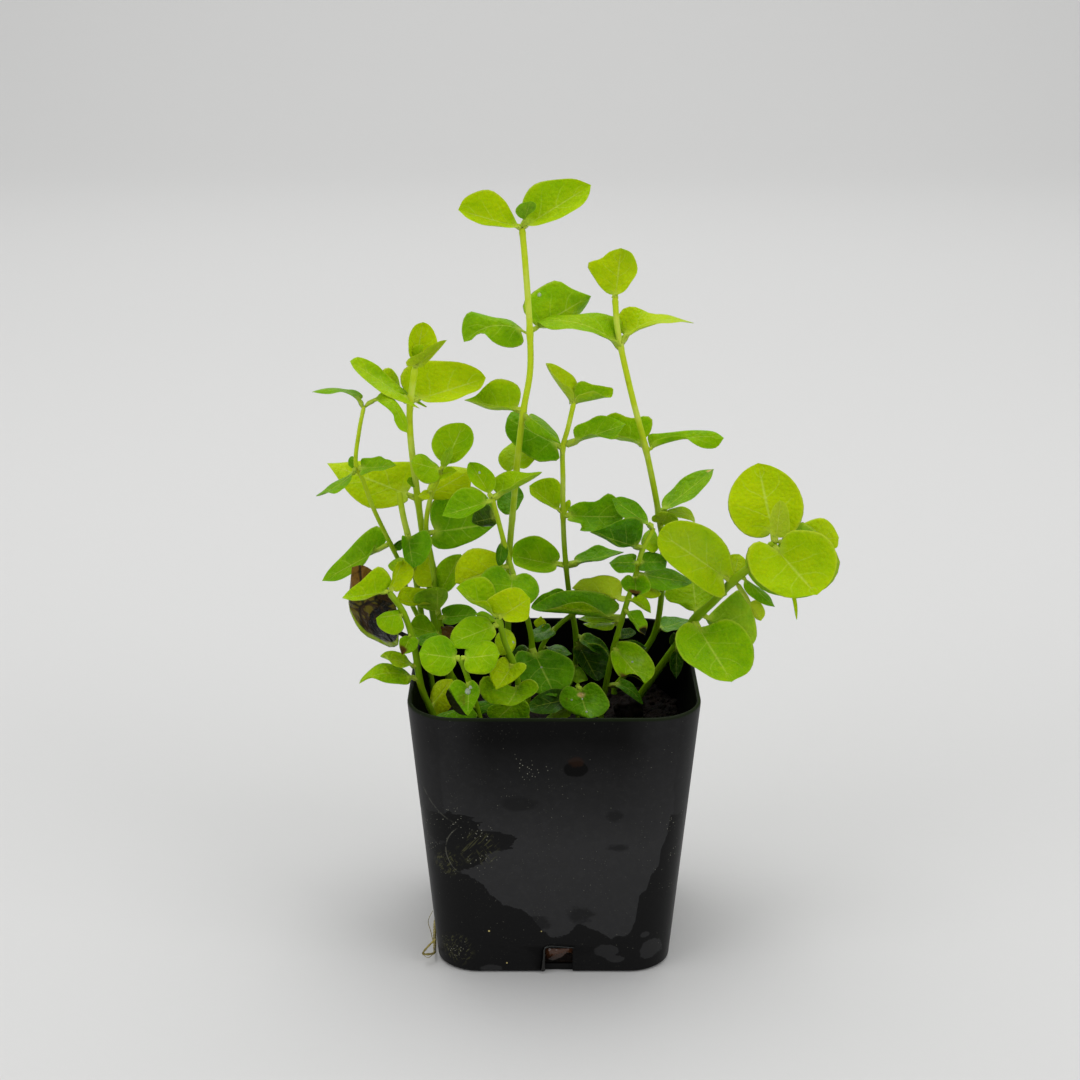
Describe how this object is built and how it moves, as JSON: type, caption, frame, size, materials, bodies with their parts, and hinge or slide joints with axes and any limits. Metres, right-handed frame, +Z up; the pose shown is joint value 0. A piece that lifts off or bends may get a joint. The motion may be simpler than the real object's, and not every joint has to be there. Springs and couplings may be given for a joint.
{
  "type": "potted golden creeping jenny",
  "caption": "Golden creeping jenny: slender upright stems with paired round lime leaves, rooted in dark soil in a tapered square black nursery pot with drain notches.",
  "frame": {"origin": "middle of the pot's flat underside, on the surface that the pot stands on", "axes": "+Z up along the stems, +X to the right of the pot's front side, which faces -Y"},
  "size_m": [0.1111, 0.0604, 0.1636],
  "materials": {
    "black_plastic": "satin, dusty, with dull dry patches",
    "wet_soil": "damp, crumbly",
    "root": "dry, fibrous",
    "stem": "smooth, waxy",
    "young_leaf": "satin, finely veined",
    "green_leaf": "satin, finely veined",
    "dark_leaf": "satin, finely veined",
    "dead_leaf": "withered, leathery"
  },
  "bodies": {
    "root": {"pot": "black_plastic", "soil": "wet_soil", "root_loop": "root", "tall_stem": "stem", "tall_leaf_1": "young_leaf", "tall_leaf_2": "young_leaf", "tall_leaf_4": "green_leaf", "tall_leaf_5": "green_leaf", "tall_leaf_6": "green_leaf", "right_stem": "stem", "right_leaf_1": "young_leaf", "right_leaf_2": "young_leaf", "right_leaf_3": "green_leaf", "right_leaf_5": "green_leaf", "right_leaf_6": "green_leaf", "left_stem": "stem", "left_leaf_3": "young_leaf", "left_leaf_4": "young_leaf", "left_leaf_5": "young_leaf", "left_leaf_6": "young_leaf", "bent_stem": "stem", "bent_leaf_2": "green_leaf", "bent_leaf_7": "green_leaf", "short_stem": "stem", "side_stem": "stem", "side_leaf_1": "green_leaf", "side_leaf_6": "dark_leaf", "inner_stem": "stem", "inner_leaf_3": "green_leaf", "inner_leaf_7": "green_leaf", "inner_leaf_8": "dark_leaf", "centre_stem": "stem", "centre_leaf_3": "dark_leaf", "centre_leaf_7": "dark_leaf", "centre_leaf_8": "dark_leaf", "front_stem": "stem", "front_leaf_2": "dark_leaf", "front_leaf_4": "dark_leaf", "front_leaf_12": "green_leaf", "outer_stem": "stem", "outer_leaf_1": "young_leaf", "outer_leaf_2": "young_leaf", "outer_leaf_8": "green_leaf", "outer_leaf_9": "green_leaf", "outer_leaf_10": "green_leaf", "rim_stem": "stem", "rim_leaf_1": "young_leaf", "rim_leaf_7": "green_leaf", "rim_leaf_9": "dead_leaf", "low_stem": "stem", "low_leaf_1": "young_leaf", "low_leaf_2": "young_leaf", "low_leaf_3": "young_leaf", "middle_stem": "stem", "middle_leaf_1": "young_leaf", "middle_leaf_3": "green_leaf", "middle_leaf_6": "green_leaf", "floor_stem": "stem", "floor_leaf_1": "dark_leaf", "nest_stem": "stem"}
  },
  "joints": []
}
